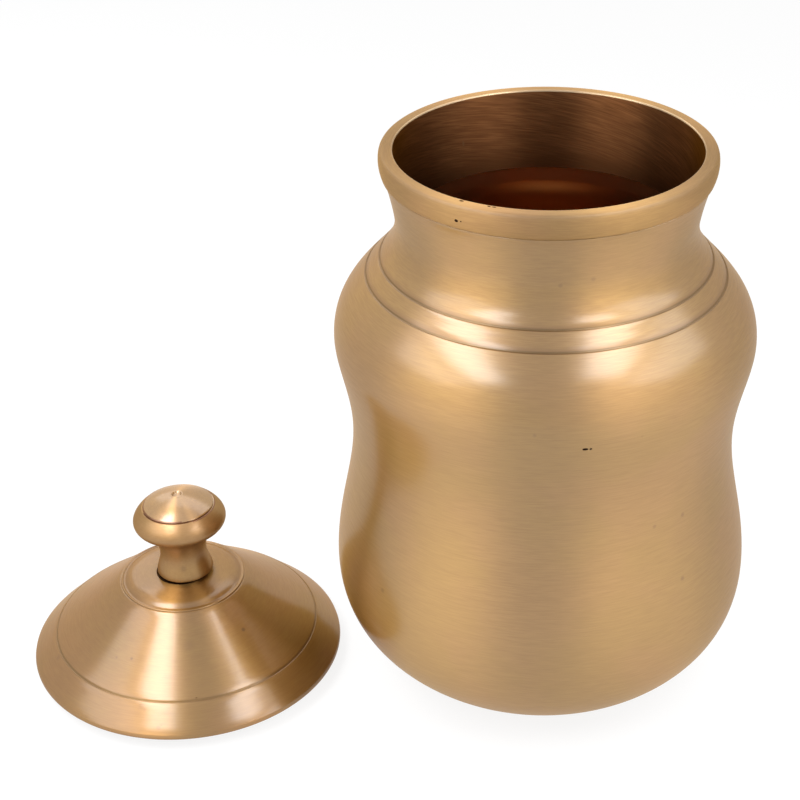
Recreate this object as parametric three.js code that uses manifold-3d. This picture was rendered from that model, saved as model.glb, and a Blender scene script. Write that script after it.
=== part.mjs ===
// Ghee pot: a cast and turned brass jar, with its lid taken off and stood beside it.
// Millimetres, +Z up. The origin is on the jar's axis, in the plane of its flat foot.
// The lid stands on its spigot at -X, close to the belly, and lifts straight up.

import * as THREE from 'three';
import { mergeVertices } from 'three/addons/utils/BufferGeometryUtils.js';
import Module from 'manifold-3d';

const wasm = await Module();
wasm.setup();

// Jar, outside: the flat foot, and the places where the outline is widest or narrowest
const footRadius = 31;
const bellyRadius = 54.6;
const bellyHeight = 33.3;
const waistRadius = 49.4;
const waistHeight = 72.6;
const shoulderRadius = 53.4;
const shoulderHeight = 99.65;
const neckRadius = 37.3;
const neckHeight = 130.75;
const lipFootRadius = 40;
const lipFootHeight = 143.1;
const lipRadius = 41.1;
const lipBulgeHeight = 147;
const jarHeight = 149.6;

// Jar, lip: the flat ring that the lid rests on, and the mouth inside it
const lipStep = 0.4;
const lipFlatOuterRadius = 39.9;
const lipFlatInnerRadius = 38.5;
const mouthRadius = 37.4;
const mouthEdgeDrop = 1;

// Jar, inside: the bore turned down to the throat, and the cast hollow below it
const throatRadius = 34.6;
const throatHeight = 129;
const jarWall = 3.2;
const floorThickness = 4;

// Turned lines: V cuts of one tool, two round the shoulder and one round the lid
const lineWidth = 0.7;
const lineDepth = 0.3;
const lowerLineHeight = 117;
const upperLineHeight = 121.2;

// Lid: heights are above the underside of its rim
const lidRadius = 42.5;
const brimRound = 0.6;
const brimHeight = 0.8;
const brimEase = 0.2;
const brimEaseHeight = 1.5;
const lidLineRadius = 36.1;
const lidLineHeight = 7.3;
const landRadius = 17.4;
const landHeight = 22.4;
const landRise = 1.75;
const beadWidth = 0.9;
const beadHeight = 0.35;
const lidWall = 2.6;
const landThickness = 3.2;
const spigotDepth = 3.5;
const spigotWall = 2.6;
const spigotChamfer = 0.5;
const spigotClearance = 0.5;

// Knob: heights are above its own foot
const knobFootRadius = 7.6;
const stemRadius = 6.3;
const stemHeight = 6.8;
const tuckRadius = 8.4;
const tuckHeight = 13.2;
const knobRadius = 12.5;
const knobWidestHeight = 17.1;
const capGrooveRadius = 9.55;
const capGrooveWidth = 0.5;
const capGrooveHeight = 21.35;
const capGrooveDepth = 0.5;
const knobHeight = 24.75;
const dimpleRadius = 1.1;
const dimpleDepth = 0.6;
const tappedDepth = 13;

// Knob's fixing: a screw with a washer, put in from under the lid
const screwRadius = 2.4;
const screwReach = 11;
const screwHeadRadius = 4.4;
const screwHeadHeight = 2.6;
const screwHeadBevel = 0.9;
const slotWidth = 1.2;
const slotDepth = 1.2;
const washerRadius = 6.2;
const washerThickness = 1.2;

// Fits: the air left where two pieces touch, the knob's place off the lid's centre,
// and the gap at which the lid stands from the belly
const seatGap = 0.3;
const knobOffset = 0.8;
const standGap = 0.65;
const overrun = 1;

// How far each curve's handles reach, as shares of its rise and run:
// [run, rise] of the first handle, then of the second
const heelShares = [0.49, 0.23, 0, 0.56];
const bellyShares = [0, 0.35, 0, 0.36];
const waistShares = [0, 0.45, 0, 0.23];
const shoulderShares = [0, 0.51, 0, 0.39];
const neckShares = [0, 0.17, 0.38, 0.17];
const lipSideShares = [0.5, 0.28, 0, 0.39];
const lipCrownShares = [0, 0.62, 0.75, 0];
const mouthShares = [0.55, 0, 0, 0.6];
const brimShares = [0.6, 0, 0, 0.6];
const stemShares = [0, 0.3, 0, 0.41];
const tuckShares = [0, 0.38, 0.67, 0.25];
const knobUnderShares = [0.44, 0.31, 0, 0.54];
const knobOverShares = [0, 0.38, 0.36, 0.18];
const capShares = [0.35, 0.42, 0.3, 0.12];
// where the bead round the lid's land peaks, across its width
const beadPeakShare = 0.45;
// how wide the flat seat of the knob is, of the knob's own foot
const seatWidthShare = 1.2;
// how far the lid's cone sags from a straight line, of its run
const coneSagShare = 0.012;

// Counts: flats round each turned piece, and steps along a curve
const jarSides = 56;
const lidSides = 56;
const knobSides = 36;
const screwSides = 24;
const longSteps = 6;
const shortSteps = 4;

const turnedBrass = { color: 0xb8925f, metalness: 0.9, roughness: 0.42 };
const fixingBrass = { color: 0xa98a4e, metalness: 0.9, roughness: 0.35 };

// Worked out from the sizes above: the knob's seat and the washer's upper face,
// above the lid's rim, and the lid's place beside the jar
const knobSeatHeight = landHeight + landRise;
const washerTop = knobSeatHeight - landThickness - seatGap;
const lidDistance = bellyRadius + standGap + lidRadius;

/** A profile point: its distance from the axis, and its height. */
function at(radius, height) {
  return new THREE.Vector2(radius, height);
}

/** Points of the curve from one profile point to another, both ends included. */
function curve(from, to, [runOut, riseOut, runIn, riseIn], steps) {
  const run = to.x - from.x;
  const rise = to.y - from.y;
  const handleOut = at(from.x + run * runOut, from.y + rise * riseOut);
  const handleIn = at(to.x - run * runIn, to.y - rise * riseIn);
  return new THREE.CubicBezierCurve(from, handleOut, handleIn, to).getPoints(steps);
}

/** One profile out of several stretches, without the points that they share. */
function joinStretches(...stretches) {
  const profile = [];
  for (const point of stretches.flat()) {
    const last = profile.at(-1);
    if (!last || !last.equals(point)) profile.push(point);
  }
  return profile;
}

/** The profile's direction at a point, from its two neighbours. */
function directionAt(profile, index) {
  const before = profile[Math.max(index - 1, 0)];
  const after = profile[Math.min(index + 1, profile.length - 1)];
  return after.clone().sub(before).normalize();
}

/** The profile moved in towards the axis side by a wall's thickness. */
function moveInward(profile, wall) {
  return profile.map((point, index) => {
    const along = directionAt(profile, index);
    return at(point.x - along.y * wall, point.y + along.x * wall);
  });
}

/** Cuts one turned line into a rising profile, at a height on it. */
function cutLine(profile, height) {
  const next = profile.findIndex((point) => point.y > height);
  const below = profile[next - 1];
  const above = profile[next];
  const along = above.clone().sub(below).normalize();
  const middle = below.clone().lerp(above, (height - below.y) / (above.y - below.y));
  const half = along.clone().multiplyScalar(lineWidth / 2);
  const bottom = at(middle.x - along.y * lineDepth, middle.y + along.x * lineDepth);
  const kept = profile.filter((point) => point.distanceTo(middle) > lineWidth);
  const place = kept.findIndex((point) => point.y > height);
  kept.splice(place, 0, middle.clone().sub(half), bottom, middle.clone().add(half));
  return kept;
}

/** A turned piece, its profile given in mm and its axis along +Z. */
function turn(profile, sides) {
  return new THREE.LatheGeometry(profile, sides).rotateX(Math.PI / 2);
}

/** A named piece of the pot in its own material. */
function piece(name, geometry, look) {
  const mesh = new THREE.Mesh(geometry, new THREE.MeshStandardMaterial(look));
  mesh.name = name;
  return mesh;
}

/** A closed geometry as a solid for cutting. */
function toSolid(geometry) {
  const bare = geometry.clone();
  bare.deleteAttribute('normal');
  bare.deleteAttribute('uv');
  const merged = mergeVertices(bare);
  return new wasm.Manifold(new wasm.Mesh({
    numProp: 3,
    vertProperties: merged.attributes.position.array,
    triVerts: Uint32Array.from(merged.index.array),
  }));
}

/** A cut solid as a geometry again. */
function toGeometry(solid) {
  const mesh = solid.getMesh();
  const geometry = new THREE.BufferGeometry();
  geometry.setAttribute('position', new THREE.BufferAttribute(mesh.vertProperties, mesh.numProp));
  geometry.setIndex(new THREE.BufferAttribute(mesh.triVerts, 1));
  geometry.computeVertexNormals();
  return geometry;
}

/** The jar's outside from the foot's edge up to the foot of the lip. */
function jarWallOutline() {
  const foot = at(footRadius, 0);
  const belly = at(bellyRadius, bellyHeight);
  const waist = at(waistRadius, waistHeight);
  const shoulder = at(shoulderRadius, shoulderHeight);
  const neck = at(neckRadius, neckHeight);
  const lipFoot = at(lipFootRadius, lipFootHeight);
  return joinStretches(
    curve(foot, belly, heelShares, longSteps),
    curve(belly, waist, bellyShares, longSteps),
    curve(waist, shoulder, waistShares, longSteps),
    curve(shoulder, neck, shoulderShares, longSteps + 2),
    curve(neck, lipFoot, neckShares, shortSteps),
  );
}

/** The lip: a small step out, a bulging side, a flat crown and a rounded mouth. */
function lipOutline() {
  const lipStart = at(lipFootRadius + lipStep, lipFootHeight + lipStep);
  const bulge = at(lipRadius, lipBulgeHeight);
  const flatOuter = at(lipFlatOuterRadius, jarHeight);
  const flatInner = at(lipFlatInnerRadius, jarHeight);
  const mouthEdge = at(mouthRadius, jarHeight - mouthEdgeDrop);
  return joinStretches(
    [at(lipFootRadius - lipStep / 2, lipFootHeight + lipStep / 2)],
    curve(lipStart, bulge, lipSideShares, shortSteps - 1),
    curve(bulge, flatOuter, lipCrownShares, shortSteps - 1),
    curve(flatInner, mouthEdge, mouthShares, shortSteps - 2),
  );
}

/** The bore's radius at a height, on the straight taper from mouth to throat. */
function boreRadiusAt(height) {
  const mouthEdgeHeight = jarHeight - mouthEdgeDrop;
  const taper = (mouthRadius - throatRadius) / (mouthEdgeHeight - throatHeight);
  return throatRadius + (height - throatHeight) * taper;
}

function makeJar() {
  const outside = jarWallOutline();
  const lined = cutLine(cutLine(outside, lowerLineHeight), upperLineHeight);
  const hollow = moveInward(outside, jarWall)
    .filter((point) => point.y > floorThickness && point.y < throatHeight && point.x > throatRadius)
    .reverse();
  const profile = [
    at(0, 0),
    ...lined,
    ...lipOutline(),
    at(throatRadius, throatHeight),
    ...hollow,
    at(footRadius, floorThickness),
    at(0, floorThickness),
  ];
  return piece('pot_body', turn(profile, jarSides), turnedBrass);
}

function makeLidShell() {
  const line = at(lidLineRadius, lidLineHeight);
  const landEdge = at(landRadius, landHeight);
  const coneSlope = (landHeight - lidLineHeight) / (lidLineRadius - landRadius);
  const sag = (lidLineRadius - landRadius) * coneSagShare;
  const coneMiddle = at((line.x + landEdge.x) / 2 - sag, (line.y + landEdge.y) / 2 - sag);
  const underside = at(lidRadius - brimRound, 0);
  const brimWidest = at(lidRadius, brimHeight);
  const brim = [
    ...curve(underside, brimWidest, brimShares, shortSteps - 2),
    at(lidRadius - brimEase, brimEaseHeight),
  ];
  const slope = cutLine([...brim, line, coneMiddle, landEdge], lidLineHeight - lineDepth);
  const bead = [
    at(landRadius - beadWidth * beadPeakShare, landHeight + beadHeight),
    at(landRadius - beadWidth, landHeight),
  ];
  const seatRadius = knobFootRadius * seatWidthShare;
  const holeRadius = screwRadius + knobOffset + seatGap;

  // underneath, the wall follows the cone down to the spigot that fits the mouth
  const drop = lidWall * Math.hypot(1, coneSlope);
  const underLand = knobSeatHeight - landThickness;
  const underLandRadius = lidLineRadius - (underLand + drop - lidLineHeight) / coneSlope;
  const spigotRadius = boreRadiusAt(jarHeight - spigotDepth) - spigotClearance;
  const spigotInner = spigotRadius - spigotWall;
  const spigotTop = lidLineHeight + (lidLineRadius - spigotInner) * coneSlope - drop;
  const spigot = [
    at(spigotInner, spigotTop),
    at(spigotInner, -spigotDepth),
    at(spigotRadius - spigotChamfer, -spigotDepth),
    at(spigotRadius, spigotChamfer - spigotDepth),
    at(spigotRadius, 0),
  ];
  const profile = [
    ...spigot,
    ...slope,
    ...bead,
    at(seatRadius, knobSeatHeight),
    at(holeRadius, knobSeatHeight),
    at(holeRadius, underLand),
    at(underLandRadius, underLand),
    at(spigotInner, spigotTop),
  ];
  return piece('lid_shell', turn(profile, lidSides), turnedBrass);
}

function makeKnob() {
  const foot = at(knobFootRadius, 0);
  const stem = at(stemRadius, stemHeight);
  const tuck = at(tuckRadius, tuckHeight);
  const widest = at(knobRadius, knobWidestHeight);
  const grooveOuter = at(capGrooveRadius + capGrooveWidth / 2, capGrooveHeight);
  const grooveInner = at(capGrooveRadius - capGrooveWidth / 2, capGrooveHeight);
  const dimpleEdge = at(dimpleRadius, knobHeight);
  const tappedRadius = screwRadius + seatGap;
  const profile = joinStretches(
    [at(0, tappedDepth), at(tappedRadius, tappedDepth), at(tappedRadius, 0)],
    curve(foot, stem, stemShares, shortSteps),
    curve(stem, tuck, tuckShares, shortSteps),
    curve(tuck, widest, knobUnderShares, shortSteps),
    curve(widest, grooveOuter, knobOverShares, shortSteps),
    [at(capGrooveRadius, capGrooveHeight - capGrooveDepth)],
    curve(grooveInner, dimpleEdge, capShares, shortSteps),
    [at(0, knobHeight - dimpleDepth)],
  );
  const knob = piece('lid_knob', turn(profile, knobSides), turnedBrass);
  knob.position.set(knobOffset, 0, knobSeatHeight + seatGap);
  return knob;
}

function makeWasher() {
  const boreRadius = screwRadius + seatGap;
  const profile = [
    at(boreRadius, 0),
    at(washerRadius, 0),
    at(washerRadius, washerThickness),
    at(boreRadius, washerThickness),
    at(boreRadius, 0),
  ];
  const washer = piece('knob_washer', turn(profile, screwSides), fixingBrass);
  washer.position.set(knobOffset, 0, washerTop - washerThickness);
  return washer;
}

function makeScrew() {
  // the shank runs through washer and land and ends inside the knob
  const headTop = washerTop - washerThickness - seatGap;
  const shank = knobSeatHeight + seatGap + screwReach - headTop;
  const profile = [
    at(0, -screwHeadHeight),
    at(screwHeadRadius - screwHeadBevel, -screwHeadHeight),
    at(screwHeadRadius, screwHeadBevel - screwHeadHeight),
    at(screwHeadRadius, 0),
    at(screwRadius, 0),
    at(screwRadius, shank),
    at(0, shank),
  ];
  const slotLength = (screwHeadRadius + overrun) * 2;
  const slotHeight = slotDepth + overrun;
  const slot = new THREE.BoxGeometry(slotLength, slotWidth, slotHeight);
  slot.translate(0, 0, slotDepth - screwHeadHeight - slotHeight / 2);
  const cut = toSolid(turn(profile, screwSides)).subtract(toSolid(slot));
  const screw = piece('knob_screw', toGeometry(cut), fixingBrass);
  screw.position.set(knobOffset, 0, headTop);
  return screw;
}

const lid = new THREE.Group();
lid.add(makeLidShell(), makeKnob(), makeWasher(), makeScrew());
lid.position.set(-lidDistance, 0, spigotDepth);

const gheePot = new THREE.Group();
gheePot.add(makeJar(), lid);

export default gheePot;
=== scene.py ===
# Ghee pot: a turned brass jar, with its lid taken off and stood beside it.
# Metres, +Z up, origin on the jar's axis in the plane of its foot, as in the frame.

import math

import bpy
from mathutils import Matrix, Vector


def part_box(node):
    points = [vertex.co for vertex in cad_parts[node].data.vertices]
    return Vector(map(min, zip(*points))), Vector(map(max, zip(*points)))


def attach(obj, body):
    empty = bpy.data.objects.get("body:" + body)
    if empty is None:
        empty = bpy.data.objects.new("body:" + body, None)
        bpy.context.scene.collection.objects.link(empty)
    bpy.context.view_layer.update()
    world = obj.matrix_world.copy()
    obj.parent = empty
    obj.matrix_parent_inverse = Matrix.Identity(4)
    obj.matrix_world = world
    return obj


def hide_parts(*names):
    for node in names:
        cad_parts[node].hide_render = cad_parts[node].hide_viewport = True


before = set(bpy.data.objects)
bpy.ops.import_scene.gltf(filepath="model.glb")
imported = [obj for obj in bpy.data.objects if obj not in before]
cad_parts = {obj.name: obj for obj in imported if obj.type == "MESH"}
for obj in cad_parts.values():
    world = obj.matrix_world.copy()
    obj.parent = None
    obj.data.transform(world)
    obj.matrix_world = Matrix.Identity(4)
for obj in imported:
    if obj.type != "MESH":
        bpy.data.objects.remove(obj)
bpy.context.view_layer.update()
print("frame loaded:", sorted(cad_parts))

mm = 0.001
up = Vector((0, 0, 1))
fullTurn = 2 * math.pi
samePoint = 0.001 * mm    # points of an outline closer than this are one
mergeReach = 0.002 * mm   # and vertices closer than this after a spin
sharpAngle = 25           # degrees: edges sharper than this are rounded on the turned pieces
smoothAngle = 30          # and faces that meet at less than this are shaded as one surface
edgeSegments = 2


# Shared hand tools

def deselectAll():
    if bpy.context.object and bpy.context.object.mode != "OBJECT":
        bpy.ops.object.mode_set(mode="OBJECT")
    bpy.ops.object.select_all(action="DESELECT")


def at(radius, height):
    return Vector((radius * mm, 0, height * mm))  # a point of a piece's outline


def curve(start, end, bend):
    # bend: handles reach [run, rise] from the start, then [run, rise] back from the end, and the steps
    runOut, riseOut, runIn, riseIn, steps = bend
    run = end.x - start.x
    rise = end.z - start.z
    handleOut = start + Vector((run * runOut, 0, rise * riseOut))
    handleIn = end - Vector((run * runIn, 0, rise * riseIn))
    points = []
    for step in range(steps + 1):
        t = step / steps
        s = 1 - t
        points.append(start * s**3 + handleOut * (3 * s * s * t) + handleIn * (3 * s * t * t) + end * t**3)
    return points


def joinStretches(*stretches):
    outline = []
    for point in [point for stretch in stretches for point in stretch]:
        if not outline or (outline[-1] - point).length > samePoint:
            outline.append(point)
    return outline


def leftOf(direction):
    return Vector((-direction.z, 0, direction.x))  # towards the axis on a rising outline


def moveInward(outline, wall):
    moved = []
    for index, point in enumerate(outline):
        before = outline[max(index - 1, 0)]
        after = outline[min(index + 1, len(outline) - 1)]
        moved.append(point + leftOf((after - before).normalized()) * wall)
    return moved


def cutGroove(outline, height, groove):
    # across a rising outline: the metal eases in from above and steps out at the lower edge
    above = next(i for i, point in enumerate(outline) if point.z > height * mm)
    low = outline[above - 1]
    high = outline[above]
    edge = low.lerp(high, (height * mm - low.z) / (high.z - low.z))
    ease = groove["ease"] * mm
    beyond = [point for point in outline[above:] if (point - edge).length > ease]
    along = (beyond[0] - edge).normalized()
    inward = leftOf(along) * (groove["depth"] * mm)
    cut = [edge]
    for step in range(groove["steps"] + 1):
        share = step / groove["steps"]
        foot = edge + along * (groove["step"] * mm * (1 - share) + ease * share)
        cut.append(foot + inward * (1 - share) ** groove["bend"])
    below = [point for point in outline[:above] if (point - edge).length > groove["step"] * mm]
    return below + cut + beyond


def turnPiece(name, outline, axis, turns):
    # one vertex is drawn out along the outline and spun round the axis
    deselectAll()
    bpy.ops.mesh.primitive_plane_add(size=mm, location=axis + outline[0])
    piece = bpy.context.object
    piece.name = name
    piece.data.name = name
    bpy.ops.object.mode_set(mode="EDIT")
    bpy.ops.mesh.merge(type="CENTER")
    for here, there in zip(outline, outline[1:]):
        bpy.ops.mesh.extrude_region_move(TRANSFORM_OT_translate={"value": there - here})
    bpy.ops.mesh.select_all(action="SELECT")
    bpy.ops.mesh.spin(steps=turns, angle=fullTurn, center=axis, axis=up)
    bpy.ops.mesh.select_all(action="SELECT")
    bpy.ops.mesh.remove_doubles(threshold=mergeReach)
    bpy.ops.mesh.normals_make_consistent(inside=False)
    bpy.ops.object.mode_set(mode="OBJECT")
    bpy.ops.object.transform_apply(location=True, rotation=True, scale=True)
    return piece


def roundEdges(piece, width, sharpest):
    bevel = piece.modifiers.new("rounded edges", "BEVEL")
    bevel.limit_method = "ANGLE"
    bevel.angle_limit = math.radians(sharpest)
    bevel.width = width * mm
    bevel.segments = edgeSegments
    bpy.context.view_layer.objects.active = piece
    bpy.ops.object.modifier_apply(modifier=bevel.name)


def smooth(piece):
    deselectAll()
    piece.select_set(True)
    bpy.context.view_layer.objects.active = piece
    bpy.ops.object.shade_smooth_by_angle(angle=math.radians(smoothAngle))


def measured(center, axis):
    # radius and height in mm of a face, from its piece's axis
    out = center - axis
    return math.hypot(out.x, out.y) / mm, out.z / mm


def paint(piece, chooser, materials):
    # each face takes the material that the chooser names for its place and normal
    for material in materials.values():
        piece.data.materials.append(material)
    order = list(materials)
    for face in piece.data.polygons:
        face.material_index = order.index(chooser(face.center, face.normal))


def handOver(piece, body, slot, *nodes):
    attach(piece, body)
    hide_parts(*nodes)


# Brass, worked by nodes

stainColor = (0.16, 0.085, 0.04)
stainCore = 0.2             # share of a stain's radius that has its full tone
# the stretch of each noise over which its tone or roughness changes
patchStretch = (0.35, 0.65)
hairStretch = (0.3, 0.7)
cutStretch = (0.35, 0.65)
roughStretch = (0.25, 0.75)
speckStretch = (0.6, 1.0)
patchDetail = 3
wanderDetail = 1
acrossMarks = 0.25          # of a turn: highlights stretch across the marks


def addNode(tree, kind, settings=None, **links):
    # settings are the node's own options or fixed inputs; links name inputs, or number them: i0, i1, i2
    node = tree.nodes.new(kind)
    for key, value in (settings or {}).items():
        if hasattr(node, key):
            setattr(node, key, value)
        else:
            node.inputs[key].default_value = value
    for key, source in links.items():
        socket = node.inputs[int(key[1:]) if key[1:].isdigit() else key]
        if isinstance(source, bpy.types.NodeSocket):
            tree.links.new(source, socket)
        else:
            socket.default_value = source
    return node


def maths(tree, operation, first, second=0.0, third=0.0):
    node = addNode(tree, "ShaderNodeMath", {"operation": operation}, i0=first, i1=second, i2=third)
    return node.outputs[0]


def mixColors(tree, factor, first, second):
    node = addNode(tree, "ShaderNodeMix", {"data_type": "RGBA"})
    for index, value in ((0, factor), (6, first), (7, second)):
        if isinstance(value, bpy.types.NodeSocket):
            tree.links.new(value, node.inputs[index])
        else:
            node.inputs[index].default_value = value if index == 0 else (*value, 1)
    return node.outputs[2]


def mapRange(tree, value, fromLow, fromHigh, toLow, toHigh):
    node = addNode(tree, "ShaderNodeMapRange", {"interpolation_type": "SMOOTHSTEP"})
    tree.links.new(value, node.inputs["Value"])
    ends = {"From Min": fromLow, "From Max": fromHigh, "To Min": toLow, "To Max": toHigh}
    for key, number in ends.items():
        node.inputs[key].default_value = number
    return node.outputs[0]


def noise(tree, vector, scale, detail, w=None):
    node = addNode(tree, "ShaderNodeTexNoise", {"noise_dimensions": "3D" if w is None else "4D"})
    tree.links.new(vector, node.inputs["Vector"])
    if w is not None:
        tree.links.new(w, node.inputs["W"])
    node.inputs["Scale"].default_value = scale
    node.inputs["Detail"].default_value = detail
    return node.outputs[0]


def stained(tree, place, color, stains):
    # soft dark stains, each at a place of the surface with a radius and a depth of tone
    tone = None
    for middle, radius, depth in stains:
        away = addNode(tree, "ShaderNodeVectorMath", {"operation": "DISTANCE"}, i0=place, i1=middle)
        mark = mapRange(tree, away.outputs["Value"], stainCore * radius * mm, radius * mm, depth, 0)
        tone = mark if tone is None else maths(tree, "MAXIMUM", tone, mark)
    return color if tone is None else mixColors(tree, tone, color, stainColor)


def shaded(tree, measure, color, deep, bands):
    # dirt and painted shade at turned lines, and painted shade in hollows, over a stretch of the height or
    # of the radius
    for start, darkest, end, depth in bands:
        rise = mapRange(tree, measure, start * mm, darkest * mm, 0, 1)
        fade = mapRange(tree, measure, darkest * mm, end * mm, depth, 0)
        color = mixColors(tree, maths(tree, "MULTIPLY", rise, fade), color, deep)
    return color


def dirtAndShadeBand(line, dirtAndShade):
    # where the dirt and painted shade at a turned line start, are darkest and end, and their depth of tone
    return line - dirtAndShade["below"], line, line + dirtAndShade["above"], dirtAndShade["depth"]


def turnedMetal(name, axis, look, stains=(), bands=(), shadeRings=()):
    material = bpy.data.materials.new(name)
    material.use_nodes = True
    tree = material.node_tree
    shader = tree.nodes["Principled BSDF"]
    place = addNode(tree, "ShaderNodeTexCoord").outputs["Object"]
    centred = addNode(tree, "ShaderNodeMapping", {"Location": -axis}, Vector=place).outputs[0]
    parts = addNode(tree, "ShaderNodeSeparateXYZ", i0=centred).outputs
    flat = addNode(tree, "ShaderNodeCombineXYZ", i0=parts[0], i1=parts[1]).outputs[0]
    radius = addNode(tree, "ShaderNodeVectorMath", {"operation": "LENGTH"}, i0=flat).outputs["Value"]
    around = addNode(tree, "ShaderNodeVectorMath", {"operation": "NORMALIZE"}, i0=flat).outputs[0]
    aroundParts = addNode(tree, "ShaderNodeSeparateXYZ", i0=around).outputs
    bearing = maths(tree, "ARCTAN2", aroundParts[0], aroundParts[1])
    wander = noise(tree, centred, look["wanderScale"], wanderDetail)
    lift = maths(tree, "MULTIPLY", wander, look["wander"] * mm)
    slanted = maths(tree, "MULTIPLY_ADD", bearing, look["slant"] * mm, lift)
    rise = maths(tree, "ADD", slanted, parts[2])

    def marks(mark):
        # noise drawn out round the axis: fine across the cut, long along it
        height = maths(tree, "DIVIDE", rise, mark["spacing"] * mm)
        w = maths(tree, "DIVIDE", radius, mark["spacing"] * mm)
        alongX = maths(tree, "MULTIPLY", aroundParts[0], mark["run"])
        alongY = maths(tree, "MULTIPLY", aroundParts[1], mark["run"])
        vector = addNode(tree, "ShaderNodeCombineXYZ", i0=alongX, i1=alongY, i2=height).outputs[0]
        return noise(tree, vector, 1, mark["detail"], w)

    hairs = marks(look["hairs"])
    cuts = marks(look["cuts"])
    patches = noise(tree, centred, look["patchScale"], patchDetail)
    color = mixColors(tree, mapRange(tree, patches, *patchStretch, 0, 1), look["color"], look["patch"])
    hairTone = mapRange(tree, hairs, *hairStretch, 0, look["hairs"]["tone"])
    cutTone = mapRange(tree, cuts, *cutStretch, 0, look["cuts"]["tone"])
    color = mixColors(tree, cutTone, color, look["deep"])
    color = mixColors(tree, hairTone, color, look["deep"])
    scattered = {"Scale": look["speckScale"], "Randomness": 1.0}
    cells = addNode(tree, "ShaderNodeTexVoronoi", scattered, Vector=centred)
    size = addNode(tree, "ShaderNodeSeparateColor", i0=cells.outputs["Color"]).outputs[0]
    reach = mapRange(tree, size, *speckStretch, 0.0, look["speckReach"])
    inside = maths(tree, "SUBTRACT", reach, cells.outputs["Distance"])
    specks = mapRange(tree, inside, 0.0, look["speckReach"], 0, look["speckTone"])
    color = mixColors(tree, specks, color, look["deep"])
    color = stained(tree, place, color, stains)
    # the bands and rings lay dirt and painted shade at turned lines, and painted shade in hollows
    color = shaded(tree, parts[2], color, look["deep"], bands)
    color = shaded(tree, radius, color, look["deep"], shadeRings)
    tree.links.new(color, shader.inputs["Base Color"])
    spread = look["roughSpread"]
    roughness = mapRange(tree, hairs, *roughStretch, look["roughness"] - spread, look["roughness"] + spread)
    tree.links.new(roughness, shader.inputs["Roughness"])
    tangent = addNode(tree, "ShaderNodeTangent", {"direction_type": "RADIAL", "axis": "Z"}).outputs[0]
    tree.links.new(tangent, shader.inputs["Tangent"])
    shader.inputs["Metallic"].default_value = 1
    shader.inputs["Anisotropic"].default_value = look["anisotropic"]
    shader.inputs["Anisotropic Rotation"].default_value = acrossMarks
    shader.inputs["Specular Tint"].default_value = (*look["edgeTint"], 1)
    shader.inputs["Coat Weight"].default_value = look["coat"]
    shader.inputs["Coat Roughness"].default_value = look["coatRoughness"]
    shader.inputs["Coat IOR"].default_value = look["coatIor"]
    hairHeight = maths(tree, "MULTIPLY", hairs, look["hairs"]["depth"])
    height = maths(tree, "MULTIPLY_ADD", cuts, look["cuts"]["depth"], hairHeight)
    bump = addNode(tree, "ShaderNodeBump", {"Strength": 1.0, "Distance": mm}, Height=height)
    tree.links.new(bump.outputs[0], shader.inputs["Normal"])
    return material


# The outside of the jar; each later look says only where it differs
outerLook = {
    "color": (0.43, 0.246, 0.086),
    "patch": (0.42, 0.249, 0.078),    # patches of a yellower tone
    "patchScale": 45,
    "deep": (0.30, 0.16, 0.055),      # the dark of the marks, and of the dirt and painted shade at the lines
    "edgeTint": (0.62, 0.48, 0.34),   # what the metal turns to where it is seen along its face
    # fine hairs and broader cuts of the tool: spacing and depth in mm; a higher run makes them shorter
    "hairs": {"spacing": 0.22, "run": 11, "detail": 4, "tone": 0.26, "depth": 0.006},
    "cuts": {"spacing": 0.9, "run": 8, "detail": 4, "tone": 0.12, "depth": 0.007},
    "wander": 1.0,            # mm that the marks stray up and down
    "wanderScale": 35,
    "slant": 0.0,             # mm that the marks climb for each radian
    "speckScale": 110,
    "speckReach": 0.06,
    "speckTone": 0.5,
    "roughness": 0.54,
    "roughSpread": 0.04,
    "anisotropic": 0.9,
    "coat": 0.37,             # a bright layer over the rough metal, for the white of its highlights
    "coatRoughness": 0.23,
    "coatIor": 2.4,
}
lipLook = {**outerLook, "coat": 0.26, "coatRoughness": 0.5, "roughness": 0.7, "anisotropic": 0.84,
           "color": (0.455, 0.262, 0.094), "patch": (0.44, 0.264, 0.087)}
lidLook = {**outerLook, "roughness": 0.5, "anisotropic": 0.92, "coat": 0.36, "coatRoughness": 0.19,
           "color": (0.36, 0.186, 0.056), "patch": (0.345, 0.188, 0.049), "deep": (0.26, 0.13, 0.035),
           "hairs": {"spacing": 0.25, "run": 8, "detail": 2, "tone": 0.16, "depth": 0.004},
           "cuts": {"spacing": 1.2, "run": 9, "detail": 3, "tone": 0.14, "depth": 0.008}}
knobLook = {**lidLook, "color": (0.375, 0.212, 0.086), "patch": (0.36, 0.215, 0.078),
            "roughness": 0.45, "anisotropic": 0.5, "coat": 0.17, "coatRoughness": 0.28}
capLook = {**knobLook, "color": (0.42, 0.23, 0.08), "patch": (0.41, 0.235, 0.072),
           "roughness": 0.46, "anisotropic": 0.86, "coat": 0.58, "coatRoughness": 0.2}
boreLook = {**outerLook,
            "color": (0.235, 0.098, 0.037), "patch": (0.21, 0.085, 0.03), "deep": (0.09, 0.034, 0.012),
            "hairs": {"spacing": 0.28, "run": 5, "detail": 3, "tone": 0.8, "depth": 0.004},
            "cuts": {"spacing": 1.6, "run": 3, "detail": 3, "tone": 0.4, "depth": 0.008},
            "slant": 5.5, "wander": 0.3, "coat": 0.035, "roughness": 0.4}
underLook = {**lidLook,
             "color": (0.29, 0.145, 0.05), "patch": (0.27, 0.145, 0.044), "deep": (0.2, 0.095, 0.03),
             "cuts": {"spacing": 1.6, "run": 6, "detail": 3, "tone": 0.2, "depth": 0.012}, "coat": 0.12}
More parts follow.
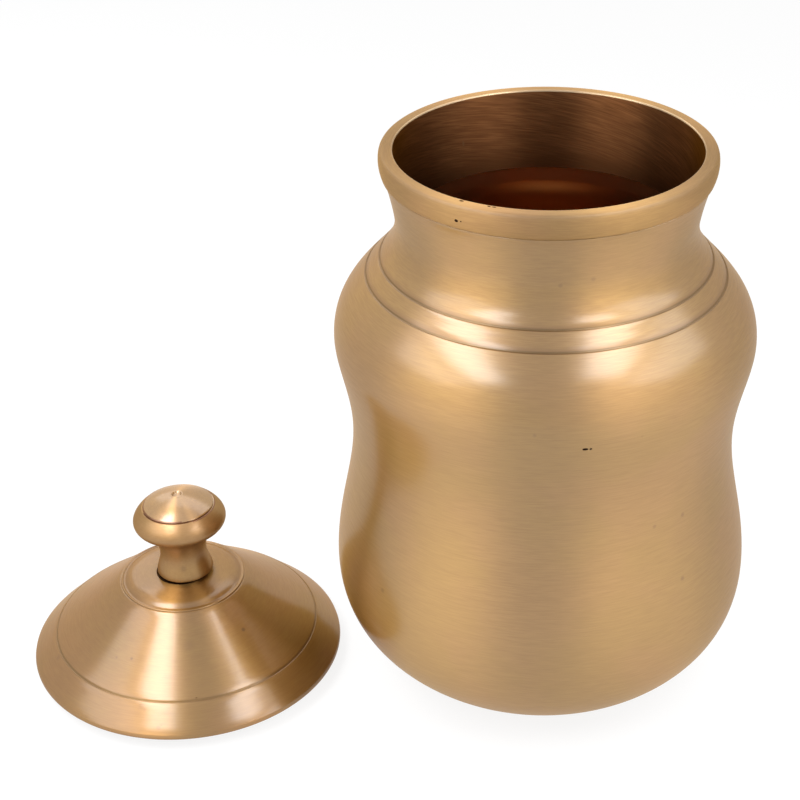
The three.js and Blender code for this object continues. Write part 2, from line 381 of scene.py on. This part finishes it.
castLook = {**outerLook,
            "color": (0.565, 0.325, 0.165), "patch": (0.54, 0.30, 0.145), "deep": (0.48, 0.26, 0.12),
            "hairs": {"spacing": 0.6, "run": 9, "detail": 2, "tone": 0.04, "depth": 0.0002},
            "cuts": {"spacing": 4, "run": 5, "detail": 2, "tone": 0.08, "depth": 0.0005},
            "coat": 0.0, "roughness": 0.3, "roughSpread": 0.01, "anisotropic": 0.0, "speckTone": 0.1}
lineLook = {**outerLook,
            "color": (0.25, 0.145, 0.055), "patch": (0.24, 0.14, 0.05), "deep": (0.18, 0.10, 0.035),
            "coat": 0.22, "roughness": 0.5}
lidLineLook = {**lineLook,
               "color": (0.28, 0.158, 0.052), "patch": (0.27, 0.15, 0.047), "deep": (0.2, 0.105, 0.034)}
notchLook = {**lineLook,
             "color": (0.28, 0.13, 0.06), "patch": (0.26, 0.12, 0.05), "deep": (0.18, 0.08, 0.03)}
# near-black painted shade, for the casting pits and for the gap under the knob's foot
paintedShadeLook = {**outerLook,
             "color": (0.07, 0.035, 0.018), "patch": (0.05, 0.025, 0.012), "deep": (0.03, 0.015, 0.008),
             "coat": 0.0, "roughness": 0.6, "anisotropic": 0.0}
polishLook = {**outerLook,
              "color": (0.52, 0.35, 0.19), "patch": (0.50, 0.34, 0.17), "deep": (0.42, 0.27, 0.13),
              "roughness": 0.4}
fixingLook = {**outerLook,
              "color": (0.50, 0.36, 0.17), "patch": (0.47, 0.34, 0.15), "deep": (0.38, 0.26, 0.11),
              "roughness": 0.3, "coat": 0.0}


def spot(axis, azimuth, radius, height):
    # a place on a turned piece: degrees round its axis from +X, then millimetres
    angle = math.radians(azimuth)
    return axis + Vector((radius * math.cos(angle), radius * math.sin(angle), height)) * mm


def cutPits(piece, pits, materialName):
    # small casting holes: squashed balls are taken out of the metal
    deselectAll()
    balls = []
    for place, across, turn in pits:
        bpy.ops.mesh.primitive_ico_sphere_add(subdivisions=2, radius=mm, location=place)
        ball = bpy.context.object
        ball.scale = Vector(across) / 2
        ball.rotation_euler.z = math.radians(turn)
        balls.append(ball)
    for ball in balls:
        ball.select_set(True)
    if len(balls) > 1:
        bpy.ops.object.join()
    cutter = bpy.context.object
    bpy.ops.object.transform_apply(location=True, rotation=True, scale=True)
    for material in piece.data.materials:
        cutter.data.materials.append(material)
    index = piece.data.materials.find(materialName)
    for face in cutter.data.polygons:
        face.material_index = index
    boolean = piece.modifiers.new("pits", "BOOLEAN")
    boolean.object = cutter
    boolean.operation = "DIFFERENCE"
    boolean.solver = "EXACT"
    deselectAll()
    bpy.context.view_layer.objects.active = piece
    bpy.ops.object.modifier_apply(modifier=boolean.name)
    bpy.data.objects.remove(cutter)


# The jar

jar = {
    "foot": at(31, 0),
    "belly": at(54.6, 33.3),
    "waist": at(49.4, 72.6),
    "shoulder": at(53.4, 99.65),
    "neck": at(37.3, 130.75),
    "lipFoot": at(40, 142.8),
    "lipStep": 0.4,
    "lipBulge": at(41.1, 146.7),
    "flatOuter": at(39.95, 149.25),
    "flatInner": at(37.85, 149.25),
    "mouthEdge": at(37.5, 148.85),
    "throat": at(34.6, 129),
    "ledge": at(0.5, -0.15),  # the step back into the hollow, under the throat
    "wall": 3.2,
    "floor": 4,
    "grooves": (116.75, 120.7),
    "groove": {"step": 0.2, "depth": 0.2, "ease": 2.0, "bend": 1.5, "steps": 8},
    "lineWidth": 0.4,         # mm of each groove that is as dark as the line
    # dirt and painted shade over the eased slope above each groove
    "dirtAndShade": {"below": 0.15, "above": 1.6, "depth": 1.0},
    "heelBend": (0.49, 0.23, 0, 0.56, 26),
    "bellyBend": (0, 0.35, 0, 0.36, 20),
    "waistBend": (0, 0.45, 0, 0.23, 18),
    "shoulderBend": (0, 0.51, 0, 0.39, 32),
    "neckBend": (0, 0.17, 0.38, 0.17, 10),
    "lipSideBend": (0.5, 0.28, 0, 0.39, 6),
    "lipCrownBend": (0, 0.62, 0.75, 0, 6),
    "mouthBend": (0.55, 0, 0, 0.6, 4),
    "turns": 256,
    "edge": 0.12,
    "margin": 0.1,            # mm by which a face may miss the line between two finishes
}


def jarOutline():
    step = jar["lipStep"]
    outside = joinStretches(
        curve(jar["foot"], jar["belly"], jar["heelBend"]),
        curve(jar["belly"], jar["waist"], jar["bellyBend"]),
        curve(jar["waist"], jar["shoulder"], jar["waistBend"]),
        curve(jar["shoulder"], jar["neck"], jar["shoulderBend"]),
        curve(jar["neck"], jar["lipFoot"], jar["neckBend"]),
    )
    inside = [point for point in moveInward(outside, jar["wall"] * mm)
              if jar["floor"] * mm < point.z < jar["throat"].z and point.x > jar["throat"].x]
    for height in jar["grooves"]:
        outside = cutGroove(outside, height, jar["groove"])
    lipStart = jar["lipFoot"] + at(step, step)
    lip = joinStretches(
        [jar["lipFoot"] + at(-step / 2, step / 2)],
        curve(lipStart, jar["lipBulge"], jar["lipSideBend"]),
        curve(jar["lipBulge"], jar["flatOuter"], jar["lipCrownBend"]),
        curve(jar["flatInner"], jar["mouthEdge"], jar["mouthBend"]),
    )
    ledge = jar["throat"] + jar["ledge"]
    floorEdge = jar["foot"] + at(0, jar["floor"])
    return [at(0, 0), *outside, *lip, jar["throat"], ledge, *inside[::-1], floorEdge, at(0, jar["floor"])]


jarAxis = Vector((0, 0, 0))
potBody = turnPiece("potBody", jarOutline(), jarAxis, jar["turns"])
print("jar turned:", len(potBody.data.polygons), "faces")


def jarFinish(center, normal):
    radius, height = measured(center, jarAxis)
    outward = normal.dot(Vector((center.x, center.y, 0)).normalized())
    mouth = jar["mouthEdge"] / mm
    throat = jar["throat"] / mm
    lipStart = jar["lipFoot"].z / mm + jar["lipStep"]
    margin = jar["margin"]
    if height > mouth.z - margin:
        return "polish" if radius < jar["flatInner"].x / mm else "lip"
    if outward > -0.5 and height > lipStart and radius > mouth.x:
        return "lip"
    if outward < 0 and height > throat.z + margin and radius < mouth.x + 2 * margin:
        return "bore"
    inHollow = outward < 0 and jar["floor"] - margin < height < throat.z + margin
    onFloor = normal.z > 0.5 and abs(height - jar["floor"]) < margin / 2
    if inHollow or onFloor:
        return "cast"
    inGroove = any(0 < height - groove < jar["lineWidth"] for groove in jar["grooves"])
    return "line" if inGroove and outward > 0 else "turned"


# Each pit has its place, its size in mm and its turn in degrees
jarPits = (
    (spot(jarAxis, -84.9, 53.0, 95.8), (1.5, 1.0, 0.7), 5),
    (spot(jarAxis, -83.5, 53.0, 95.75), (0.7, 0.9, 0.5), 5),
    (spot(jarAxis, -125.6, 41.0, 145.4), (1.0, 0.9, 0.8), -35),
    (spot(jarAxis, -123.9, 41.0, 145.5), (0.4, 0.5, 0.35), -35),
    (spot(jarAxis, -125.9, 38.4, 149.3), (1.2, 0.7, 0.6), -35),
    (spot(jarAxis, -115.6, 38.3, 149.2), (0.9, 0.5, 0.5), -25),
    (spot(jarAxis, -113.8, 38.3, 149.25), (1.1, 0.5, 0.4), -25),
)
# Each stain has its place, its radius in mm and its depth of tone
jarStains = (
    (spot(jarAxis, -61.7, 49.6, 67.4), 0.8, 0.35),
    (spot(jarAxis, -51.1, 49.6, 67.2), 0.9, 0.4),
    (spot(jarAxis, -52.9, 52.5, 50.3), 0.9, 0.4),
    (spot(jarAxis, -142.9, 53.9, 42.5), 1.0, 0.4),
    (spot(jarAxis, -90.5, 37.3, 130.3), 0.8, 0.3),
    (spot(jarAxis, -78.8, 37.3, 131.3), 0.9, 0.3),
    (spot(jarAxis, -97.6, 53.4, 100), 0.7, 0.25),
)
boreStains = (
    (spot(jarAxis, 121.4, 35.9, 137.9), 0.55, 0.8),
    (spot(jarAxis, 121.4, 35.9, 138.4), 0.4, 0.7),
    (spot(jarAxis, 121.4, 35.9, 137.4), 0.4, 0.7),
)
jarBands = [dirtAndShadeBand(height, jar["dirtAndShade"]) for height in jar["grooves"]]
boreShadeBands = ((128, 129, 137, 0.85),)  # painted shade, darkest just above the throat

# The faces are told apart before the edges are rounded
paint(potBody, jarFinish, {
    "turned": turnedMetal("jarBrass", jarAxis, outerLook, jarStains, jarBands),
    "lip": turnedMetal("lipBrass", jarAxis, lipLook, jarStains),
    "bore": turnedMetal("boreBrass", jarAxis, boreLook, boreStains, boreShadeBands),
    "cast": turnedMetal("castBrass", jarAxis, castLook),
    "line": turnedMetal("jarLine", jarAxis, lineLook),
    "polish": turnedMetal("mouthPolish", jarAxis, polishLook),
    "paintedShade": turnedMetal("jarPaintedShade", jarAxis, paintedShadeLook),
})
roundEdges(potBody, jar["edge"], sharpAngle)
# the pits are filled with the near-black painted shade
cutPits(potBody, jarPits, "jarPaintedShade")
smooth(potBody)
handOver(potBody, "pot", "turned_brass", "pot_body")

# The lid

lidLow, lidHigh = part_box("lid_shell")
lidMiddle = (lidLow + lidHigh) / 2
lid = {
    "spigotDepth": 3.5,
    "radius": 42.5,
    "brimRound": 0.6,
    "brimHeight": 0.8,
    "brimEase": 0.2,
    "brimEaseHeight": 1.5,
    "brimBend": (0.6, 0, 0, 0.6, 4),
    "brimFaceBend": (0.33, 0.33, 0.33, 0.33, 4),
    "line": (35.9, 7.6),      # radius and height of the break between brim and cone
    "lineDrop": 0.3,          # the turned line lies this far below it
    "lineWidth": 0.5,
    # dirt and painted shade above the lid's turned line
    "dirtAndShade": {"below": 0.15, "above": 0.8, "depth": 0.5},
    "groove": {"step": 0.2, "depth": 0.16, "ease": 0.9, "bend": 1.5, "steps": 5},
    "coneBend": (0.345, 0.32, 0.32, 0.345, 12),
    "land": (16.95, 22.5),    # radius and height of the cone's upper edge
    "landRise": 1.75,
    "beadWidth": 0.7,
    "beadHeight": 0.16,
    "beadPeak": 0.45,         # share of the bead's width
    "beadGroove": 0.22,
    "beadGrooveFoot": 0.4,    # share of the groove's width
    "beadShade": 0.15,        # mm inside the land's edge that the dark of the groove reaches
    "beadOuterBend": (0, 0.6, 0.5, 0, 3),
    "beadInnerBend": (0.5, 0, 0.2, 0.6, 3),
    "channelWidth": 0.6,
    "channelDepth": 0.05,
    "channelBend": (0.3, -1.0, 0.35, 1.0, 6),
    "crownRadius": 12.6,      # the land rounds up from the channel to here, then rises gently to the seat
    "crownDrop": 0.45,
    "crownBend": (0.3, 0.49, 0.4, 0.15, 8),
    "underBend": (0.33, 0.33, 0.33, 0.33, 8),
    "wall": 2.6,
    "landThickness": 3.2,
    "spigotWall": 2.6,
    "spigotRadius": 36.545,
    "seatRadius": 9.12,
    # inside this radius the land under the knob's foot is painted as shade
    "paintedShadeRadius": 7.05,
    "holeRadius": 3.5,
    "outerFrom": 40,          # the outside's finish goes round the brim from this radius
    "upperFrom": 20,          # and into the hole from this height
    "turns": 224,
    "edge": 0.1,
}
lidAxis = Vector((lidMiddle.x, 0, lid["spigotDepth"] * mm))
knobLow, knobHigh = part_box("lid_knob")
knobAxis = Vector(((knobLow.x + knobHigh.x) / 2, 0, knobLow.z))


def lidOutline():
    brimFoot = at(lid["radius"] - lid["brimRound"], 0)
    brim = curve(brimFoot, at(lid["radius"], lid["brimHeight"]), lid["brimBend"])
    brim.append(at(lid["radius"] - lid["brimEase"], lid["brimEaseHeight"]))
    linePoint = at(*lid["line"])
    landEdge = at(*lid["land"])
    slope = (landEdge.z - linePoint.z) / (linePoint.x - landEdge.x)
    cone = curve(linePoint, landEdge, lid["coneBend"])
    brimFace = curve(brim[-1], linePoint, lid["brimFaceBend"])
    outside = cutGroove(joinStretches(brim, brimFace, cone), lid["line"][1] - lid["lineDrop"], lid["groove"])
    seat = lid["land"][1] + lid["landRise"]
    nick = lid["beadGroove"]
    nickFoot = landEdge + at(-nick * lid["beadGrooveFoot"], -nick)
    crest = landEdge + at(-lid["beadWidth"] * lid["beadPeak"], lid["beadHeight"])
    beadFoot = landEdge + at(-lid["beadWidth"], 0)
    channelEnd = beadFoot + at(-lid["channelWidth"], lid["channelDepth"])
    crown = at(lid["crownRadius"], seat - lid["crownDrop"])
    top = joinStretches(
        [landEdge + at(nick, -nick * slope)],
        curve(nickFoot, crest, lid["beadOuterBend"]),
        curve(crest, beadFoot, lid["beadInnerBend"]),
        curve(beadFoot, channelEnd, lid["channelBend"]),
        curve(channelEnd, crown, lid["crownBend"]),
        [at(lid["seatRadius"], seat), at(lid["paintedShadeRadius"], seat), at(lid["holeRadius"], seat)],
    )
    drop = lid["wall"] * math.hypot(1, slope)
    underLand = seat - lid["landThickness"]
    underRadius = lid["line"][0] - (underLand + drop - lid["line"][1]) / slope
    inner = lid["spigotRadius"] - lid["spigotWall"]
    innerTop = lid["line"][1] + (lid["line"][0] - inner) * slope - drop
    return joinStretches(
        [at(inner, innerTop), at(inner, -lid["spigotDepth"]), at(lid["spigotRadius"], -lid["spigotDepth"]),
         at(lid["spigotRadius"], 0)],
        outside[:-1],
        top,
        [at(lid["holeRadius"], underLand)],
        curve(at(underRadius, underLand), at(inner, innerTop), lid["underBend"]),
    )


lidShell = turnPiece("lidShell", lidOutline(), lidAxis, lid["turns"])
print("lid turned:", len(lidShell.data.polygons), "faces")


def lidFinish(center, normal):
    radius, height = measured(center, lidAxis)
    landRadius, landHeight = lid["land"]
    spigotBore = lid["spigotRadius"] - lid["spigotWall"]
    lineMiddle = lid["line"][1] - lid["lineDrop"] + lid["groove"]["step"]
    onLine = abs(height - lineMiddle) < lid["lineWidth"] / 2 and radius > spigotBore and normal.z > -0.2
    atBead = -lid["beadShade"] < radius - landRadius < lid["beadGroove"] and height > lid["upperFrom"]
    if onLine or (atBead and normal.z < 0.9):
        return "line"
    # the land under the knob's foot is painted as shade
    if radius < lid["paintedShadeRadius"] and height > landHeight:
        return "paintedShade"
    outside = normal.z > 0.05 or radius > lid["outerFrom"] or height > lid["upperFrom"]
    return "turned" if outside else "under"


lidStains = (
    (spot(lidAxis, -45.5, 24.5, 16.4), 0.8, 0.75),
    (spot(lidAxis, -116.2, 27.9, 13.7), 0.6, 0.6),
    (spot(lidAxis, -125.1, 28.7, 13.0), 0.5, 0.4),
    (spot(lidAxis, -104.4, 37.1, 6.3), 1.4, 0.22),
    (spot(lidAxis, -102.9, 37.6, 5.9), 0.7, 0.25),
    (spot(lidAxis, -96.6, 40.8, 2.9), 0.9, 0.3),
    (spot(lidAxis, -95.6, 40.3, 3.3), 0.5, 0.25),
    (spot(lidAxis, -156.8, 36.8, 6.4), 1.3, 0.22),
    (spot(lidAxis, -83, 24, 16.5), 2.2, 0.15),
)
lidBands = (dirtAndShadeBand(lid["line"][1] - lid["lineDrop"], lid["dirtAndShade"]),)
lidChannelShade = ((14.2, 15.9, 16.3, 0.6),)  # painted shade in the channel inside the bead, over the radius
lidPits = (
    (spot(lidAxis, -81.6, 35.4, 7.95), (0.5, 0.4, 0.4), 0),
)
paint(lidShell, lidFinish, {
    "turned": turnedMetal("lidBrass", lidAxis, lidLook, lidStains, lidBands, lidChannelShade),
    "under": turnedMetal("lidUnderBrass", lidAxis, underLook),
    "line": turnedMetal("lidLine", lidAxis, lidLineLook),
    "paintedShade": turnedMetal("lidPaintedShade", lidAxis, paintedShadeLook),
})
roundEdges(lidShell, lid["edge"], sharpAngle)
cutPits(lidShell, lidPits, "lidLine")
smooth(lidShell)
handOver(lidShell, "lid", "turned_brass", "lid_shell")

# The knob

knob = {
    "foot": at(7.6, 0),
    "stem": at(6.3, 6.8),
    "tuck": at(8.4, 13.2),
    "widest": at(12.5, 17.1),
    "shoulder": at(9.75, 21.2),
    "notch": at(9.25, 21.1),
    "capEdge": at(9.47, 21.5),
    "top": 24.5,
    "dimpleRadius": 1.3,
    "dimpleDepth": 0.4,
    "dimpleWall": 0.3,
    "dimpleRing": 0.9,
    "dimpleRise": 0.14,
    "dimpleSag": 0.05,
    "rebateDepth": 0.7,
    "rebateHeight": 0.85,
    "tappedRadius": 2.7,
    "tappedDepth": 13,
    "stemBend": (0, 0.3, 0, 0.41, 12),
    "tuckBend": (0, 0.38, 0.67, 0.25, 12),
    "underBend": (0.44, 0.31, 0, 0.54, 14),
    "overBend": (0, 0.38, 0.36, 0.18, 12),
    "capBend": (0.28, 0.4, 0.45, 0.24, 18),
    "ringOuterBend": (0.4, 0, 0.4, 0, 4),
    "ringInnerBend": (0.5, 0, 0.1, 0.5, 3),
    "dimpleBend": (0.3, 0, 0.5, 0, 3),
    "lineReach": 0.7,         # mm above and below the cap's edge that the line's finish may reach
    "capReach": 0.2,          # and below it, the cap's
    "margin": 0.05,
    "lean": 1.2,              # degrees: the photo's knob is not quite upright
    "leanHeight": 8,
    "turns": 128,
    "edge": 0.08,
}


def knobOutline():
    rebate = knob["foot"] + at(-knob["rebateDepth"], 0)
    footTop = knob["foot"] + at(0, knob["rebateHeight"])
    ringFoot = at(knob["dimpleRadius"] + knob["dimpleRing"], knob["top"])
    ringTop = at(knob["dimpleRadius"] + knob["dimpleRing"] / 3, knob["top"] + knob["dimpleRise"])
    wallTop = at(knob["dimpleRadius"], knob["top"] + knob["dimpleRise"] / 2)
    wallFoot = wallTop + at(-knob["dimpleWall"], -knob["dimpleDepth"])
    dimpleFoot = at(0, wallFoot.z / mm - knob["dimpleSag"])
    tapped = knob["tappedRadius"]
    return joinStretches(
        [at(0, knob["tappedDepth"]), at(tapped, knob["tappedDepth"]), at(tapped, 0)],
        [rebate, rebate + at(0, knob["rebateHeight"])],
        curve(footTop, knob["stem"], knob["stemBend"]),
        curve(knob["stem"], knob["tuck"], knob["tuckBend"]),
        curve(knob["tuck"], knob["widest"], knob["underBend"]),
        curve(knob["widest"], knob["shoulder"], knob["overBend"]),
        [knob["notch"]],
        curve(knob["capEdge"], ringFoot, knob["capBend"]),
        curve(ringFoot, ringTop, knob["ringOuterBend"]),
        curve(ringTop, wallTop, knob["ringInnerBend"]),
        curve(wallFoot, dimpleFoot, knob["dimpleBend"]),
    )


lidKnob = turnPiece("lidKnob", knobOutline(), knobAxis, knob["turns"])
leanCentre = knobAxis + Vector((0, 0, knob["leanHeight"] * mm))
bpy.ops.transform.rotate(value=math.radians(knob["lean"]), orient_axis="Y", center_override=leanCentre)
bpy.ops.object.transform_apply(location=True, rotation=True, scale=True)
print("knob turned:", len(lidKnob.data.polygons), "faces")


def knobFinish(center, normal):
    radius, height = measured(center, knobAxis)
    cap = knob["capEdge"] / mm
    # the rebate under the knob's foot is painted as shade
    if height < knob["rebateHeight"] + knob["margin"] and radius < knob["foot"].x / mm - knob["margin"]:
        return "paintedShade"
    inNotch = knob["notch"].x / mm < radius < knob["shoulder"].x / mm
    if inNotch and abs(height - cap.z) < knob["lineReach"]:
        return "line"
    return "cap" if height > cap.z - knob["capReach"] and radius < cap.x else "turned"


knobStains = ((spot(knobAxis, -86, 6.6, 4.6), 1.3, 0.35),)
paint(lidKnob, knobFinish, {
    "turned": turnedMetal("knobBrass", knobAxis, knobLook, knobStains),
    "cap": turnedMetal("capBrass", knobAxis, capLook),
    "line": turnedMetal("knobLine", knobAxis, notchLook),
    "paintedShade": turnedMetal("knobPaintedShade", knobAxis, paintedShadeLook),
})
roundEdges(lidKnob, knob["edge"], sharpAngle)
smooth(lidKnob)
handOver(lidKnob, "lid", "turned_brass", "lid_knob")

# The screw and washer under the lid

washerLow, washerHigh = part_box("knob_washer")
screwLow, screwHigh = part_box("knob_screw")
fixing = {
    "washerHole": 2.7,
    "washerEdge": 0.2,
    "headHeight": 2.6,
    "headEdge": 0.7,
    "shank": 2.4,
    "shankPoint": 0.6,
    "slotWidth": 1.2,
    "slotDepth": 1.1,
    "slotLength": 20,         # longer than the head is wide
    "headBend": (0.6, 0, 0, 0.6, 6),
    "turns": 72,
    "edge": 0.06,
}


def washerOutline():
    outer = (washerHigh.x - washerLow.x) / 2 / mm
    thick = (washerHigh.z - washerLow.z) / mm
    edge = fixing["washerEdge"]
    hole = fixing["washerHole"]
    return [at(hole + edge, 0), at(outer - edge, 0), at(outer, edge), at(outer, thick - edge),
            at(outer - edge, thick), at(hole, thick), at(hole, edge), at(hole + edge, 0)]


def screwOutline():
    radius = (screwHigh.x - screwLow.x) / 2 / mm
    length = (screwHigh.z - screwLow.z) / mm
    head = fixing["headHeight"]
    edge = fixing["headEdge"]
    return joinStretches(
        [at(0, 0)],
        curve(at(radius - edge, 0), at(radius, edge), fixing["headBend"]),
        [at(radius, head), at(fixing["shank"], head), at(fixing["shank"], length - fixing["shankPoint"]),
         at(fixing["shank"] - fixing["shankPoint"], length), at(0, length)],
    )


def cutSlot(piece, axis):
    deselectAll()
    bpy.ops.mesh.primitive_cube_add(size=mm, location=axis)
    cutter = bpy.context.object
    cutter.scale = (fixing["slotLength"], fixing["slotWidth"], fixing["slotDepth"] * 2)
    bpy.ops.object.transform_apply(location=True, rotation=True, scale=True)
    boolean = piece.modifiers.new("slot", "BOOLEAN")
    boolean.object = cutter
    boolean.operation = "DIFFERENCE"
    boolean.solver = "EXACT"
    deselectAll()
    bpy.context.view_layer.objects.active = piece
    bpy.ops.object.modifier_apply(modifier=boolean.name)
    bpy.data.objects.remove(cutter)


def middleOf(low, high):
    return Vector(((low.x + high.x) / 2, (low.y + high.y) / 2, low.z))


fixingBrass = turnedMetal("fixingBrass", middleOf(screwLow, screwHigh), fixingLook)
knobWasher = turnPiece("knobWasher", washerOutline(), middleOf(washerLow, washerHigh), fixing["turns"])
knobScrew = turnPiece("knobScrew", screwOutline(), middleOf(screwLow, screwHigh), fixing["turns"])
cutSlot(knobScrew, middleOf(screwLow, screwHigh))
for piece, node in ((knobWasher, "knob_washer"), (knobScrew, "knob_screw")):
    piece.data.materials.append(fixingBrass)
    roundEdges(piece, fixing["edge"], smoothAngle)
    smooth(piece)
    handOver(piece, "lid", "fixing_brass", node)
print("fixings turned")

# Floor, light and camera

studio = {
    "floorSize": 6.0,
    "floorDrop": 0.0002,      # keeps the floor just under the foot
    "floorColor": (0.16, 0.16, 0.16),
    "floorGlow": 0.86,        # what the camera and reflections see besides the shadow
    "fill": 0.6,              # the world's light on the pieces, against 1 where it is seen
    # name, place, degrees of tilt, size across and along in metres, and strength: 1 shows as white
    "lamps": (
        ("stripLeft", (-0.217, -0.15, 0.345), 0, (0.125, 0.34), 8.3),
        ("stripRight", (0.136, -0.145, 0.32), 0, (0.12, 0.23), 7.0),
        ("panelLeft", (-0.50, -0.17, 0.33), 0, (0.34, 0.38), 2.15),
        ("panelRight", (0.46, -0.17, 0.322), 0, (0.40, 0.38), 2.5),
        ("panelBack", (0, 0.20, 0.36), -20, (0.50, 0.20), 1.2),
        ("panelFar", (-0.29, 0.50, 0.36), -55, (0.30, 0.35), 1.25),
    ),
}

deselectAll()
bpy.ops.mesh.primitive_plane_add(size=studio["floorSize"], location=(0, 0, -studio["floorDrop"]))
floor = bpy.context.object
floor.name = "studioFloor"
floorMaterial = bpy.data.materials.new("paleFloor")
floorMaterial.use_nodes = True
floorTree = floorMaterial.node_tree
floorTree.nodes.remove(floorTree.nodes["Principled BSDF"])
diffuse = addNode(floorTree, "ShaderNodeBsdfDiffuse", {"Color": (*studio["floorColor"], 1)})
glow = addNode(floorTree, "ShaderNodeEmission", {"Strength": studio["floorGlow"]})
both = addNode(floorTree, "ShaderNodeAddShader", i0=diffuse.outputs[0], i1=glow.outputs[0])
paths = addNode(floorTree, "ShaderNodeLightPath").outputs
seen = maths(floorTree, "MAXIMUM", paths["Is Camera Ray"], paths["Is Glossy Ray"])
choice = addNode(floorTree, "ShaderNodeMixShader", i0=seen, i1=diffuse.outputs[0], i2=both.outputs[0])
floorTree.links.new(choice.outputs[0], floorTree.nodes["Material Output"].inputs["Surface"])
floor.data.materials.append(floorMaterial)
print("floor laid")

world = bpy.data.worlds.new("studioWhite")
bpy.context.scene.world = world
world.use_nodes = True
worldTree = world.node_tree
background = worldTree.nodes["Background"]
background.inputs["Color"].default_value = (1, 1, 1, 1)
worldPaths = addNode(worldTree, "ShaderNodeLightPath").outputs
worldSeen = maths(worldTree, "MAXIMUM", worldPaths["Is Camera Ray"], worldPaths["Is Glossy Ray"])
strength = mapRange(worldTree, worldSeen, 0, 1, studio["fill"], 1)
worldTree.links.new(strength, background.inputs["Strength"])

for name, place, tilt, size, power in studio["lamps"]:
    data = bpy.data.lights.new(name, "AREA")
    data.shape = "RECTANGLE"
    data.size, data.size_y = size
    data.energy = math.pi * data.size * data.size_y * power
    light = bpy.data.objects.new(name, data)
    light.location = place
    light.rotation_euler.x = math.radians(tilt)
    light.visible_camera = False
    bpy.context.scene.collection.objects.link(light)
print("lamps hung:", len(studio["lamps"]))

photo = {
    "place": (-0.04243, -0.40038, 0.31369),
    "bearing": 0.779,         # degrees from +Y towards +X
    "tilt": 30.318,           # degrees down
    "roll": -1.2866,
    "lens": 80.232,
    "sensor": 36.0,
    "clipStart": 0.01,
}
cameraData = bpy.data.cameras.new("photoCamera")
cameraData.lens = photo["lens"]
cameraData.sensor_width = photo["sensor"]
cameraData.clip_start = photo["clipStart"]
camera = bpy.data.objects.new("photoCamera", cameraData)
camera.location = photo["place"]
turn = Matrix.Rotation(math.radians(-photo["bearing"]), 3, "Z")
tip = Matrix.Rotation(math.radians(90 - photo["tilt"]), 3, "X")
lean = Matrix.Rotation(math.radians(photo["roll"]), 3, "Z")
camera.rotation_euler = (turn @ tip @ lean).to_euler()
bpy.context.scene.collection.objects.link(camera)
bpy.context.scene.camera = camera
bpy.context.scene.view_settings.view_transform = "Standard"
